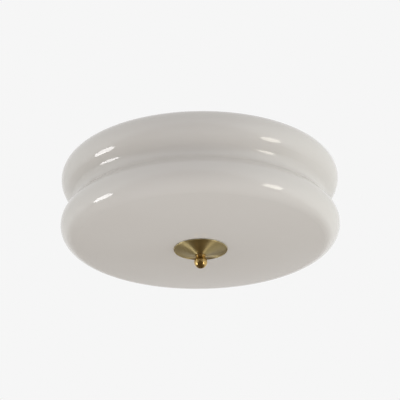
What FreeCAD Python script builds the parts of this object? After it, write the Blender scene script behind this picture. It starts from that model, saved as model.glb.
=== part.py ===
import FreeCAD, Part
import math
import os

# Flush mount ceiling light with a two-tier opal glass shade.
# Millimetres. The origin is the centre of the mounting face on the ceiling;
# +Z points up into the ceiling and the light hangs down along -Z.

V = FreeCAD.Vector
ORIGIN = V(0, 0, 0)
X_AXIS = V(1, 0, 0)
Y_AXIS = V(0, 1, 0)
Z_AXIS = V(0, 0, 1)

# ---- opal glass shade: two equal bulges with a waist between them
shade_radius = 175.0
bulge_radius = 22.0
flank_angle = 46.0
waist_fillet = 12.0
tier_pitch = 62.0
lower_tier_height = 28.5
shade_seat_radius = 36.0
glass_wall = 3.5
shade_opening_radius = 138.0
shade_hole_radius = 8.0

# ---- centre rod and its nuts
rod_radius = 4.0
thread_clearance = 0.05
hole_clearance = 0.4
nut_across_flats = 13.0
nut_height = 6.5
washer_radius = 9.0
washer_thickness = 1.6
rod_top_above_strap = 3.0
rod_reach_into_finial = 8.6
rod_end_chamfer = 0.8
nut_chamfer_share = 0.8

# ---- ceiling pan, drawn from sheet steel
pan_sheet = 1.0
pan_brim_radius = 148.0
pan_depth = 21.0
pan_wall_lean = 4.0
pan_wall_gap = 4.0
pan_brim_bend = 2.0
pan_floor_bend = 6.0

# ---- soft ring between the pan's brim and the glass
edge_gasket_thickness = 2.0
edge_gasket_margin = 1.5

# ---- mounting strap, joggled strip steel
strap_sheet = 2.0
strap_width = 20.0
strap_length = 124.0
strap_drop = 8.0
strap_middle_length = 44.0
strap_joggle_run = 8.0
strap_bend = 2.0
strap_slot_spacing = 84.0
strap_slot_length = 16.0
strap_slot_radius = 2.5
strap_end_radius = 6.0

# ---- brass cap under the glass
cap_radius = 33.7
cap_depth = 7.6
cap_sheet = 0.9
cap_bead_radius = 0.8
cap_flat_radius = 7.2
cap_flank_curve = 80.0
cap_gasket_thickness = 0.4
cap_gasket_inside = 1.4
cap_gasket_outside = 0.4

# ---- ball finial
finial_collar_radius = 6.8
finial_collar_length = 2.8
finial_groove_radius = 5.9
finial_ball_radius = 8.25
finial_ball_drop = 9.2
finial_edge_round = 0.6
finial_bore_depth = 10.6

# ---- bushing that lines the hole in the glass
bushing_flange_radius = 11.5
bushing_flange = 1.2
bushing_clearance = 0.15

# ---- lamp positions: two lamps side by side, pointing opposite ways
lamp_count = 2
lamp_side_offset = 58.0
lamp_back_offset = 66.0
lamp_drop = 40.0

# ---- lamp bracket
bracket_sheet = 1.5
bracket_width = 24.0
bracket_foot_length = 22.0
bracket_below_axis = 13.0
bracket_bend = 1.5
bracket_corner_radius = 8.0
rivet_radius = 2.0
rivet_head_radius = 3.6
rivet_head_height = 1.3
rivet_clearance = 0.05
rivet_spacing = 13.0
rivet_inset = 8.0

# ---- hollow nipple that holds the lampholder on its bracket
nipple_radius = 5.0
nipple_bore = 3.2
nipple_inside_cup = 8.0
nipple_past_nut = 1.2
nipple_nut_height = 4.0
nipple_nut_across_flats = 14.0

# ---- lampholder: a cup and a barrel that clamp the core between them
holder_radius = 20.0
holder_wall = 2.2
cup_length = 24.0
cup_neck_radius = 9.5
cup_neck_length = 3.0
cup_boss_length = 8.0
cup_shoulder_round = 9.0
cup_ledge_width = 1.8
cup_ledge_height = 16.0
core_flange = 3.0
core_gap = 0.15
core_top_height = 26.0
core_boss_radius = 13.0
core_boss = 3.0
barrel_spigot_wall = 1.5
barrel_length = 32.0
barrel_lip = 5.0
barrel_mouth_radius = 14.4
barrel_edge_round = 1.5
barrel_mouth_round = 0.8
screw_shell_sheet = 0.5
screw_shell_length = 22.0
screw_shell_gap = 0.1
screw_shell_base_radius = 9.0
contact_width = 6.0
contact_sheet = 0.5
contact_rise = 4.5
contact_bend = 0.8
contact_foot_start = -7.5
contact_foot_end = -3.5
contact_top_start = 1.0
contact_top_end = 5.0

# ---- bulb with a 27 mm screw cap, measured from its tip
bulb_length = 108.0
bulb_radius = 30.0
bulb_screw_radius = 13.05
bulb_cap_start = 4.5
bulb_cap_length = 21.0
bulb_cap_sheet = 0.4
bulb_cap_lip_radius = 10.0
bulb_tip_radius = 4.6
bulb_tip_height = 1.6
bulb_tip_gap = 0.3
bulb_insulator_end = 6.9
bulb_neck_radius = 13.6
bulb_flare_start = 31.0
bulb_flare_end = 53.0
bulb_flare_round = 30.0
bulb_housing_end = 61.0
bulb_housing_radius = 28.2
bulb_diffuser_rim = 28.8
bulb_diffuser_wall = 1.2
led_board_radius = 24.0
led_board_thickness = 1.6
fit_gap = 0.1

# ---- terminal block and earth screw on the back of the pan's floor
block_place = (44.0, 0.0)
block_poles = 2
block_pole_pitch = 9.0
block_side_margin = 1.5
block_length = 19.0
block_height = 13.0
block_round = 1.2
block_wire_radius = 2.2
block_wire_height = 6.0
block_screw_radius = 2.0
block_screw_inset = 5.0
sleeve_wall = 0.8
sleeve_inset = 2.0
block_fixing_radius = 1.2
block_fixing_depth = 9.0
block_fixing_head_radius = 2.6
block_fixing_head_height = 1.6
earth_place = (-30.0, 22.0)
earth_screw_radius = 2.0
earth_screw_length = 9.0
earth_head_radius = 4.0
earth_head_height = 2.4
earth_nut_across_flats = 7.0
earth_nut_height = 3.2
screw_head_round_share = 0.4

# ---- sleeved leads from the block to the lampholders
lead_radius = 1.75
lead_bend_share = 0.45
lead_crest_z = -6.0
lead_approach_z = -6.5
lead_floor_gap = 0.2
lead_exit_y = -30.0
grommet_wall_gap = 1.0
grommet_hole_radius = 5.0
grommet_flange_radius = 6.4
grommet_flange = 1.3
grommet_clearance = 0.1

# ---- how near two positions are when an edge is picked by its place
match_tolerance = 0.01

# ---- heights that follow from the sizes above
floor_top_z = -(pan_depth - pan_sheet)
floor_under_z = -pan_depth
brim_under_z = -pan_sheet
shade_height = lower_tier_height + tier_pitch + bulge_radius
shade_top_z = brim_under_z - edge_gasket_thickness
shade_bottom_z = shade_top_z - shade_height
cap_rim_top_z = shade_bottom_z - cap_gasket_thickness
cap_under_z = cap_rim_top_z - cap_bead_radius - cap_depth
finial_top_z = cap_under_z
rod_bottom_z = finial_top_z - rod_reach_into_finial
strap_middle_z = -strap_drop
rod_top_z = strap_middle_z + rod_top_above_strap
lamp_z = floor_under_z - lamp_drop
bulge_centre_radius = shade_radius - bulge_radius
bulb_seat_height = core_top_height + contact_rise + bulb_tip_gap
bulb_shoulder = bulb_cap_start + bulb_cap_length
block_wire_z = floor_top_z + block_wire_height


# ---- geometry helpers: outlines are drawn in the XZ plane as (x, z) pairs

def line(start, end):
    return Part.LineSegment(V(start[0], 0, start[1]), V(end[0], 0, end[1])).toShape()


def on_circle(centre, radius, degrees):
    angle = math.radians(degrees)
    return (centre[0] + radius * math.cos(angle), centre[1] + radius * math.sin(angle))


def arc(centre, radius, start, end):
    ends = [on_circle(centre, radius, a) for a in (start, (start + end) / 2, end)]
    return Part.Arc(*[V(x, 0, z) for x, z in ends]).toShape()


def outline_face(edges):
    return Part.Face(Part.Wire(Part.__sortEdges__(edges)))


def polygon_face(points):
    closed = points[1:] + points[:1]
    return outline_face([line(a, b) for a, b in zip(points, closed)])


def turned(face):
    return face.revolve(ORIGIN, Z_AXIS, 360)


def turned_polygon(points):
    return turned(polygon_face(points))


def ring(inner, outer, low, high):
    return turned_polygon([(inner, low), (outer, low), (outer, high), (inner, high)])


def drilled(shape, radius, x, y, low, high):
    return shape.cut(Part.makeCylinder(radius, high - low, V(x, y, low)))


def corner_arc(before, corner, after, radius):
    """Start, middle and end of the arc that rounds one corner of a bent line."""
    back = (before - corner).normalize()
    ahead = (after - corner).normalize()
    half = back.getAngle(ahead) / 2
    reach = radius / math.tan(half)
    middle = (back + ahead).normalize() * (radius / math.sin(half) - radius)
    return corner + back * reach, corner + middle, corner + ahead * reach


def rounded_path(corners, radii):
    """Straight runs through the corners, joined by tangent arcs of the given radii."""
    points = [V(*corner) for corner in corners]
    edges = []
    start = points[0]
    for before, corner, after, radius in zip(points, points[1:], points[2:], radii):
        begin, middle, end = corner_arc(before, corner, after, radius)
        edges.append(Part.LineSegment(start, begin).toShape())
        edges.append(Part.Arc(begin, middle, end).toShape())
        start = end
    edges.append(Part.LineSegment(start, points[-1]).toShape())
    return edges


def rounded_outline(corners):
    """Closed outline from (x, z, rounding) corners, as a face."""
    spans = []
    for i, (x, z, radius) in enumerate(corners):
        corner = V(x, 0, z)
        if radius == 0:
            spans.append((corner, None, corner))
            continue
        before = corners[i - 1]
        after = corners[(i + 1) % len(corners)]
        spans.append(corner_arc(V(before[0], 0, before[1]), corner, V(after[0], 0, after[1]), radius))
    edges = []
    for span, following in zip(spans, spans[1:] + spans[:1]):
        if span[1]:
            edges.append(Part.Arc(*span).toShape())
        edges.append(Part.LineSegment(span[2], following[0]).toShape())
    return outline_face(edges)


def shifted_corners(corners, distance):
    """The same bent line moved sideways to its left by a distance."""
    moved = []
    for i, corner in enumerate(corners):
        normals = []
        for a, b in ((i - 1, i), (i, i + 1)):
            if a < 0 or b >= len(corners):
                continue
            run = V(corners[b][0] - corners[a][0], corners[b][1] - corners[a][1], 0)
            run.normalize()
            normals.append(V(-run.y, run.x, 0))
        mitre = normals[0] + normals[-1]
        mitre = mitre * (2 * distance / mitre.dot(mitre))
        moved.append((corner[0] + mitre.x, corner[1] + mitre.y))
    return moved


def bent_sheet(corners, bends, gauge):
    """Section of a sheet: the drawn line is one face, the other lies to its left."""
    inner = shifted_corners(corners, gauge)
    near, far = [], []
    for before, corner, after, bend in zip(corners, corners[1:], corners[2:], bends):
        turn = ((corner[0] - before[0]) * (after[1] - corner[1])
                - (corner[1] - before[1]) * (after[0] - corner[0]))
        near.append(bend + gauge if turn > 0 else bend)
        far.append(bend if turn > 0 else bend + gauge)
    edges = rounded_path([(x, 0, z) for x, z in corners], near)
    edges += rounded_path([(x, 0, z) for x, z in inner], far)
    edges += [line(corners[0], inner[0]), line(corners[-1], inner[-1])]
    return outline_face(edges)


def hex_nut(across_flats, height, bore_radius, low_z):
    corner = across_flats / math.sqrt(3)
    points = [V(*on_circle((0, 0), corner, 60 * i), 0) for i in range(7)]
    prism = Part.Face(Part.makePolygon(points)).extrude(V(0, 0, height))
    chamfer = (corner - across_flats / 2) * nut_chamfer_share
    limit = turned_polygon([(0, 0), (across_flats / 2, 0), (corner, chamfer),
                            (corner, height - chamfer), (across_flats / 2, height), (0, height)])
    nut = drilled(prism.common(limit), bore_radius, 0, 0, 0, height)
    return nut.translated(V(0, 0, low_z))


# ---- shade

def shade_skin(inset):
    """One surface of the glass from its centre hole out and up to its open edge."""
    seat_z = shade_bottom_z
    lower = (bulge_centre_radius, seat_z + lower_tier_height)
    upper = (bulge_centre_radius, lower[1] + tier_pitch)
    bulge = bulge_radius - inset
    waist = waist_fillet + inset
    flank = math.radians(flank_angle)
    waist_out = (bulge_radius + waist_fillet - tier_pitch / 2 * math.sin(flank)) / math.cos(flank)
    waist_centre = (bulge_centre_radius + waist_out, (lower[1] + upper[1]) / 2)

    # the shallow dome starts level at the seat and runs smoothly into the lower bulge
    across = bulge_centre_radius - shade_seat_radius
    rise = lower_tier_height - bulge_radius
    dome_radius = (across ** 2 / rise + lower_tier_height + bulge_radius) / 2
    dome_centre = (shade_seat_radius, seat_z + dome_radius)
    meet = math.degrees(math.atan2(lower[1] - dome_centre[1], across))

    flank_low = on_circle(lower, bulge, flank_angle)
    waist_low = on_circle(waist_centre, waist, 180 + flank_angle)
    waist_high = on_circle(waist_centre, waist, 180 - flank_angle)
    flank_high = on_circle(upper, bulge, -flank_angle)
    return [
        line((shade_hole_radius, seat_z + inset), (shade_seat_radius, seat_z + inset)),
        arc(dome_centre, dome_radius - inset, -90, meet),
        arc(lower, bulge, meet, flank_angle),
        line(flank_low, waist_low),
        arc(waist_centre, waist, 180 + flank_angle, 180 - flank_angle),
        line(waist_high, flank_high),
        arc(upper, bulge, -flank_angle, 90),
        line((bulge_centre_radius, shade_top_z - inset), (shade_opening_radius, shade_top_z - inset)),
    ]


def opal_shade():
    edges = shade_skin(0) + shade_skin(glass_wall)
    edges.append(line((shade_hole_radius, shade_bottom_z), (shade_hole_radius, shade_bottom_z + glass_wall)))
    edges.append(arc((shade_opening_radius, shade_top_z - glass_wall / 2), glass_wall / 2, 90, 270))
    return turned(outline_face(edges))


def shade_bushing():
    bore = rod_radius + hole_clearance
    body = shade_hole_radius - bushing_clearance
    low = shade_bottom_z - bushing_flange
    high = shade_bottom_z + glass_wall + bushing_flange
    sleeve = ring(bore, body, low, high)
    lower_flange = ring(bore, bushing_flange_radius, low, shade_bottom_z)
    upper_flange = ring(bore, bushing_flange_radius, shade_bottom_z + glass_wall, high)
    return sleeve.fuse([lower_flange, upper_flange]).removeSplitter()


# ---- cap and finial

def cap_flank_centre():
    """Centre of the flank's arc, outside and below the cap, so that it dishes in."""
    start = V(cap_flat_radius, cap_under_z, 0)
    end = V(cap_radius - cap_bead_radius, cap_rim_top_z - 2 * cap_bead_radius + cap_sheet / 2, 0)
    chord = end - start
    normal = V(chord.y, -chord.x, 0).normalize()
    depth = math.sqrt(cap_flank_curve ** 2 - (chord.Length / 2) ** 2)
    centre = start + chord * 0.5 + normal * depth
    return centre, start - centre, end - centre


def brass_cap():
    centre, to_start, to_end = cap_flank_centre()
    middle = (centre.x, centre.y)
    begin = math.degrees(math.atan2(to_start.y, to_start.x))
    finish = math.degrees(math.atan2(to_end.y, to_end.x))
    outer_radius = cap_flank_curve
    inner_radius = cap_flank_curve + cap_sheet
    hole = rod_radius + hole_clearance
    inner_start = on_circle(middle, inner_radius, begin)
    edges = [
        arc(middle, outer_radius, begin, finish),
        line(on_circle(middle, outer_radius, finish), on_circle(middle, inner_radius, finish)),
        arc(middle, inner_radius, finish, begin),
        line(inner_start, (hole, inner_start[1])),
        line((hole, inner_start[1]), (hole, cap_under_z)),
        line((hole, cap_under_z), on_circle(middle, outer_radius, begin)),
    ]
    dish = turned(outline_face(edges))
    bead = Part.makeTorus(cap_radius - cap_bead_radius, cap_bead_radius,
                          V(0, 0, cap_rim_top_z - cap_bead_radius))
    return dish.fuse(bead).removeSplitter()


def cap_gasket():
    bead = cap_radius - cap_bead_radius
    return ring(bead - cap_gasket_inside, bead + cap_gasket_outside, cap_rim_top_z, shade_bottom_z)


def finial():
    top = finial_top_z
    ball = (0, top - finial_ball_drop)
    bore = rod_radius + thread_clearance
    edge = finial_edge_round
    collar_low = top - finial_collar_length
    neck_angle = math.degrees(math.acos(finial_groove_radius / finial_ball_radius))
    neck = on_circle(ball, finial_ball_radius, neck_angle)
    edges = [
        line((bore, top), (finial_collar_radius - edge, top)),
        arc((finial_collar_radius - edge, top - edge), edge, 90, 0),
        line((finial_collar_radius, top - edge), (finial_collar_radius, collar_low + edge)),
        arc((finial_collar_radius - edge, collar_low + edge), edge, 0, -90),
        line((finial_collar_radius - edge, collar_low), (finial_groove_radius, collar_low)),
        line((finial_groove_radius, collar_low), neck),
        arc(ball, finial_ball_radius, neck_angle, -90),
        line((0, ball[1] - finial_ball_radius), (0, top - finial_bore_depth)),
        line((0, top - finial_bore_depth), (bore, top - finial_bore_depth)),
        line((bore, top - finial_bore_depth), (bore, top)),
    ]
    return turned(outline_face(edges))


# ---- ceiling pan, rod and strap

def pan_wall_top_radius():
    return shade_opening_radius - glass_wall / 2 - pan_wall_gap


def rivet_places():
    """Rivet centres on the pan's floor, two per lamp bracket."""
    places = []
    for lamp in range(lamp_count):
        turn = FreeCAD.Rotation(Z_AXIS, 180 * lamp)
        for side in (-1, 1):
            spot = V(-lamp_back_offset + bracket_foot_length - rivet_inset,
                     lamp_side_offset + side * rivet_spacing / 2, 0)
            places.append(turn.multVec(spot))
    return places


def grommet_places():
    """In line with each lamp, where the pan's floor is still flat beside its wall."""
    flat_radius = pan_wall_top_radius() - pan_wall_lean - pan_floor_bend - pan_sheet
    reach = flat_radius - grommet_flange_radius - grommet_wall_gap
    first = V(-math.sqrt(reach ** 2 - lamp_side_offset ** 2), lamp_side_offset, 0)
    return [first, FreeCAD.Rotation(Z_AXIS, 180).multVec(first)]


def ceiling_pan():
    wall_top = pan_wall_top_radius()
    hole = rod_radius + hole_clearance
    corners = [(hole, floor_under_z), (wall_top - pan_wall_lean, floor_under_z),
               (wall_top, brim_under_z), (pan_brim_radius, brim_under_z)]
    pan = turned(bent_sheet(corners, [pan_floor_bend, pan_brim_bend], pan_sheet))
    low, high = floor_under_z - pan_sheet, floor_top_z + pan_sheet
    for spot in rivet_places():
        pan = drilled(pan, rivet_radius + rivet_clearance, spot.x, spot.y, low, high)
    for spot in grommet_places():
        pan = drilled(pan, grommet_hole_radius, spot.x, spot.y, low, high)
    pan = drilled(pan, block_fixing_radius + fit_gap, *block_place, low, high)
    return drilled(pan, earth_screw_radius + rivet_clearance, *earth_place, low, high)


def edge_gasket():
    inner = shade_opening_radius + edge_gasket_margin
    return ring(inner, pan_brim_radius - edge_gasket_margin, shade_top_z, brim_under_z)


def slot_cutter(length, radius, height):
    """A slot along Y with round ends, centred on the origin."""
    half = length / 2 - radius
    block = Part.makeBox(2 * radius, 2 * half, height, V(-radius, -half, -height / 2))
    ends = [Part.makeCylinder(radius, height, V(0, side * half, -height / 2)) for side in (-1, 1)]
    return block.fuse(ends)


def mounting_strap():
    half = strap_length / 2
    middle = strap_middle_length / 2
    joggle = middle + strap_joggle_run
    corners = [(-half, 0), (-joggle, 0), (-middle, strap_middle_z),
               (middle, strap_middle_z), (joggle, 0), (half, 0)]
    corners.reverse()
    section = bent_sheet(corners, [strap_bend] * 4, strap_sheet)
    strip = section.extrude(V(0, strap_width, 0)).translated(V(0, -strap_width / 2, 0))
    corner_edges = []
    for edge in strip.Edges:
        at_end = abs(abs(edge.CenterOfMass.x) - half) < match_tolerance
        if at_end and abs(edge.Length - strap_sheet) < match_tolerance:
            corner_edges.append(edge)
    strip = strip.makeFillet(strap_end_radius, corner_edges)
    strip.rotate(ORIGIN, Z_AXIS, 90)
    strip = drilled(strip, rod_radius + thread_clearance, 0, 0, strap_middle_z - 2 * strap_sheet, 0)
    for side in (-1, 1):
        slot = slot_cutter(strap_slot_length, strap_slot_radius, 3 * strap_sheet)
        strip = strip.cut(slot.translated(V(0, side * strap_slot_spacing / 2, 0)))
    return strip


def centre_rod():
    low, high = rod_bottom_z, rod_top_z
    tip = rod_radius - rod_end_chamfer
    return turned_polygon([(0, low), (tip, low), (rod_radius, low + rod_end_chamfer),
                           (rod_radius, high - rod_end_chamfer), (tip, high), (0, high)])


def strap_nut():
    low = strap_middle_z - strap_sheet - nut_height
    return hex_nut(nut_across_flats, nut_height, rod_radius + thread_clearance, low)


def pan_washer():
    return ring(rod_radius + hole_clearance, washer_radius, floor_under_z - washer_thickness, floor_under_z)


def pan_nut():
    low = floor_under_z - washer_thickness - nut_height
    return hex_nut(nut_across_flats, nut_height, rod_radius + thread_clearance, low)


# ---- lamp pieces: drawn standing on Z, then laid along X on their brackets

def lamp_placed(shape, lamp):
    """Local Z becomes the bulb's direction and local X points down."""
    laid = shape.copy()
    laid.rotate(ORIGIN, Y_AXIS, 90)
    laid.translate(V(-lamp_back_offset, lamp_side_offset, lamp_z))
    laid.rotate(ORIGIN, Z_AXIS, 180 * lamp)
    return laid


def lamp_bracket():
    corners = [(-lamp_drop, bracket_foot_length), (-lamp_drop, -bracket_sheet),
               (bracket_below_axis, -bracket_sheet)]
    section = bent_sheet(corners, [bracket_bend], bracket_sheet)
    plate = section.extrude(V(0, bracket_width, 0)).translated(V(0, -bracket_width / 2, 0))
    free_edges = []
    for edge in plate.Edges:
        middle = edge.CenterOfMass
        at_bottom = abs(middle.x - bracket_below_axis) < match_tolerance
        at_toe = abs(middle.z - bracket_foot_length) < match_tolerance
        if (at_bottom or at_toe) and abs(edge.Length - bracket_sheet) < match_tolerance:
            free_edges.append(edge)
    plate = plate.makeFillet(bracket_corner_radius, free_edges)
    plate = drilled(plate, nipple_radius + thread_clearance, 0, 0, -2 * bracket_sheet, bracket_sheet)
    for side in (-1, 1):
        start = V(-lamp_drop - bracket_sheet, side * rivet_spacing / 2, bracket_foot_length - rivet_inset)
        hole = Part.makeCylinder(rivet_radius + rivet_clearance, 3 * bracket_sheet, start, X_AXIS)
        plate = plate.cut(hole)
    return plate


def bracket_rivets():
    grip_low = floor_under_z - bracket_sheet
    head = (rivet_head_radius ** 2 + rivet_head_height ** 2) / (2 * rivet_head_height)
    rivets = []
    for spot in rivet_places():
        shank = Part.makeCylinder(rivet_radius, floor_top_z - grip_low, V(0, 0, grip_low))
        top = Part.makeSphere(head, V(0, 0, floor_top_z + rivet_head_height - head))
        bottom = Part.makeSphere(head, V(0, 0, grip_low - rivet_head_height + head))
        top = top.common(Part.makeCylinder(head, head, V(0, 0, floor_top_z)))
        bottom = bottom.common(Part.makeCylinder(head, head, V(0, 0, grip_low - head)))
        rivets.append(shank.fuse([top, bottom]).removeSplitter().translated(spot))
    return Part.makeCompound(rivets)


def lamp_nipple():
    low = -bracket_sheet - nipple_nut_height - nipple_past_nut
    return ring(nipple_bore, nipple_radius, low, nipple_inside_cup)


def nipple_nut():
    low = -bracket_sheet - nipple_nut_height
    return hex_nut(nipple_nut_across_flats, nipple_nut_height, nipple_radius + thread_clearance, low)


def lampholder_cup():
    bore = nipple_radius + thread_clearance
    inner = holder_radius - holder_wall
    ledge = inner - cup_ledge_width
    floor = cup_neck_length + holder_wall
    return turned(rounded_outline([
        (bore, 0, 0), (cup_neck_radius, 0, 0), (cup_neck_radius, cup_neck_length, 0),
        (holder_radius, cup_neck_length, cup_shoulder_round), (holder_radius, cup_length, 0),
        (inner, cup_length, 0), (inner, cup_ledge_height, 0), (ledge, cup_ledge_height, 0),
        (ledge, floor, cup_shoulder_round - holder_wall - cup_ledge_width),
        (cup_neck_radius, floor, 0), (cup_neck_radius, cup_boss_length, 0), (bore, cup_boss_length, 0)]))


def barrel_bore_radius():
    return holder_radius - holder_wall - core_gap - barrel_spigot_wall


def lampholder_core():
    flange = holder_radius - holder_wall - core_gap
    body = barrel_bore_radius() - core_gap
    low, flange_top = cup_ledge_height, cup_ledge_height + core_flange
    return turned_polygon([
        (0, low - core_boss), (core_boss_radius, low - core_boss), (core_boss_radius, low),
        (flange, low), (flange, flange_top), (body, flange_top), (body, core_top_height),
        (0, core_top_height)])


def lampholder_barrel():
    spigot = holder_radius - holder_wall - core_gap
    bore = barrel_bore_radius()
    low = cup_ledge_height + core_flange
    mouth = cup_length + barrel_length
    return turned(rounded_outline([
        (bore, low, 0), (spigot, low, 0), (spigot, cup_length, 0), (holder_radius, cup_length, 0),
        (holder_radius, mouth, barrel_edge_round), (barrel_mouth_radius, mouth, barrel_mouth_round),
        (barrel_mouth_radius, mouth - barrel_lip, 0), (bore, mouth - barrel_lip, 0)]))


def screw_shell():
    inner = bulb_screw_radius + screw_shell_gap
    outer = inner + screw_shell_sheet
    low = core_top_height
    high = low + screw_shell_length
    return turned_polygon([
        (screw_shell_base_radius, low), (outer, low), (outer, high), (inner, high),
        (inner, low + screw_shell_sheet), (screw_shell_base_radius, low + screw_shell_sheet)])


def centre_contact():
    low = core_top_height
    high = low + contact_rise - contact_sheet
    corners = [(contact_foot_start, low), (contact_foot_end, low), (contact_top_start, high),
               (contact_top_end, high)]
    section = bent_sheet(corners, [contact_bend, contact_bend], contact_sheet)
    return section.extrude(V(0, contact_width, 0)).translated(V(0, -contact_width / 2, 0))


# ---- bulb pieces, drawn with the tip at the bottom

def bulb_tip():
    edge = bulb_tip_height / 2
    return turned(rounded_outline([(0, 0, 0), (bulb_tip_radius, 0, edge),
                                   (bulb_tip_radius, bulb_tip_height, 0), (0, bulb_tip_height, 0)]))


def bulb_insulator():
    seat = bulb_cap_start + bulb_cap_sheet
    neck = bulb_cap_lip_radius - fit_gap
    body = bulb_screw_radius - bulb_cap_sheet - fit_gap
    return turned_polygon([
        (0, bulb_tip_height), (bulb_tip_radius, bulb_tip_height), (neck, bulb_cap_start), (neck, seat),
        (body, seat), (body, bulb_insulator_end), (0, bulb_insulator_end)])


def bulb_screw_cap():
    inner = bulb_screw_radius - bulb_cap_sheet
    low, high = bulb_cap_start, bulb_shoulder
    return turned_polygon([
        (bulb_cap_lip_radius, low), (bulb_screw_radius, low), (bulb_screw_radius, high), (inner, high),
        (inner, low + bulb_cap_sheet), (bulb_cap_lip_radius, low + bulb_cap_sheet)])


def bulb_housing():
    plug = bulb_screw_radius - bulb_cap_sheet - fit_gap
    return turned(rounded_outline([
        (0, bulb_insulator_end, 0), (plug, bulb_insulator_end, 0), (plug, bulb_shoulder, 0),
        (bulb_neck_radius, bulb_shoulder, 0), (bulb_neck_radius, bulb_flare_start, bulb_flare_round / 2),
        (bulb_housing_radius, bulb_flare_end, bulb_flare_round), (bulb_housing_radius, bulb_housing_end, 0),
        (0, bulb_housing_end, 0)]))


def led_board():
    return ring(0, led_board_radius, bulb_housing_end, bulb_housing_end + led_board_thickness)


def bulb_diffuser():
    dome_z = bulb_length - bulb_radius
    dome = (0, dome_z)
    height = dome_z - bulb_housing_end
    draw_in = bulb_radius - bulb_diffuser_rim
    side_radius = (height ** 2 + draw_in ** 2) / (2 * draw_in)
    side = (bulb_radius - side_radius, dome_z)
    wall = bulb_diffuser_wall
    lean = math.degrees(math.asin(height / side_radius))
    inner_lean = math.degrees(math.asin(height / (side_radius - wall)))
    outer_rim = on_circle(side, side_radius, -lean)
    inner_rim = on_circle(side, side_radius - wall, -inner_lean)
    return turned(outline_face([
        arc(side, side_radius, -lean, 0),
        arc(dome, bulb_radius, 0, 90),
        line((0, bulb_length), (0, bulb_length - wall)),
        arc(dome, bulb_radius - wall, 90, 0),
        arc(side, side_radius - wall, 0, -inner_lean),
        line(inner_rim, outer_rim)]))


# ---- wiring

def pole_offsets():
    first = -(block_poles - 1) / 2 * block_pole_pitch
    return [first + i * block_pole_pitch for i in range(block_poles)]


def screw_offsets():
    reach = block_length / 2 - block_screw_inset
    return (-reach, reach)


def terminal_block():
    x, y = block_place
    width = block_poles * block_pole_pitch + 2 * block_side_margin
    body = Part.makeBox(width, block_length, block_height,
                        V(x - width / 2, y - block_length / 2, floor_top_z))
    top_edges = [e for e in body.Edges if e.CenterOfMass.z > floor_top_z + match_tolerance]
    body = body.makeFillet(block_round, top_edges)
    for offset in pole_offsets():
        start = V(x + offset, y - block_length, block_wire_z)
        body = body.cut(Part.makeCylinder(block_wire_radius, 2 * block_length, start, Y_AXIS))
        for along in screw_offsets():
            body = drilled(body, block_screw_radius, x + offset, y + along, block_wire_z, 0)
    return drilled(body, block_fixing_radius + fit_gap, x, y, floor_under_z, floor_top_z + block_fixing_depth)


def terminal_sleeves():
    x, y = block_place
    outer = block_wire_radius - fit_gap
    length = block_length - 2 * sleeve_inset
    sleeves = []
    for offset in pole_offsets():
        start = V(x + offset, y - length / 2, block_wire_z)
        tube = Part.makeCylinder(outer, length, start, Y_AXIS)
        sleeves.append(tube.cut(Part.makeCylinder(outer - sleeve_wall, length, start, Y_AXIS)))
    return Part.makeCompound(sleeves)


def terminal_screws():
    x, y = block_place
    low = block_wire_z + block_wire_radius
    height = floor_top_z + block_height - block_round - low
    screws = []
    for offset in pole_offsets():
        for along in screw_offsets():
            place = V(x + offset, y + along, low)
            screws.append(Part.makeCylinder(block_screw_radius - fit_gap, height, place))
    return Part.makeCompound(screws)


def headed_pin(place, shank_radius, head_radius, head_height, high_z):
    """A screw pushed up through the pan's floor, with its head under the floor."""
    x, y = place
    head = Part.makeCylinder(head_radius, head_height, V(x, y, floor_under_z - head_height))
    head = head.makeFillet(head_height * screw_head_round_share, [head.Edges[2]])
    shank = Part.makeCylinder(shank_radius, high_z - floor_under_z, V(x, y, floor_under_z))
    return head.fuse(shank).removeSplitter()


def block_screw():
    return headed_pin(block_place, block_fixing_radius, block_fixing_head_radius,
                      block_fixing_head_height, floor_top_z + block_fixing_depth)


def earth_screw():
    return headed_pin(earth_place, earth_screw_radius, earth_head_radius, earth_head_height,
                      floor_under_z + earth_screw_length)


def earth_nut():
    nut = hex_nut(earth_nut_across_flats, earth_nut_height, earth_screw_radius + thread_clearance, floor_top_z)
    return nut.translated(V(*earth_place, 0))


def lead_grommets():
    bore = lead_radius + grommet_clearance
    body = grommet_hole_radius - grommet_clearance
    low, high = floor_under_z - grommet_flange, floor_top_z + grommet_flange
    grommet = turned_polygon([
        (bore, low), (grommet_flange_radius, low), (grommet_flange_radius, floor_under_z),
        (body, floor_under_z), (body, floor_top_z), (grommet_flange_radius, floor_top_z),
        (grommet_flange_radius, high), (bore, high)])
    return Part.makeCompound([grommet.translated(spot) for spot in grommet_places()])


def lead_route(lamp):
    """From a pole of the block, over the crest above its grommet, down and into the lampholder."""
    side = 1 - 2 * lamp
    x, y = block_place
    pole_x = x + pole_offsets()[lamp]
    floor_z = floor_top_z + lead_radius + lead_floor_gap
    out_of_block = [(pole_x, y - block_length / 2 + sleeve_inset, block_wire_z),
                    (pole_x, lead_exit_y, block_wire_z)]
    around = [
        [(10, -43, floor_z), (-24, -40, floor_z), (-56, -22, floor_z), (-76, 4, floor_z),
         (-90, 30, lead_approach_z)],
        [(74, -50, lead_approach_z)],
    ][lamp]
    grommet_x, lamp_y = grommet_places()[lamp].x, side * lamp_side_offset
    inner_end = -side * (lamp_back_offset - cup_ledge_height + core_boss)
    down = [(grommet_x, lamp_y, lead_crest_z), (grommet_x, lamp_y, lamp_z), (inner_end, lamp_y, lamp_z)]
    return out_of_block + around + down


def bend_radii(points):
    """Each bend takes a fixed share of its shorter run."""
    radii = []
    for before, corner, after in zip(points, points[1:], points[2:]):
        back, ahead = V(*before) - V(*corner), V(*after) - V(*corner)
        half_turn = (math.pi - back.getAngle(ahead)) / 2
        radii.append(lead_bend_share * min(back.Length, ahead.Length) / math.tan(half_turn))
    return radii


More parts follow.
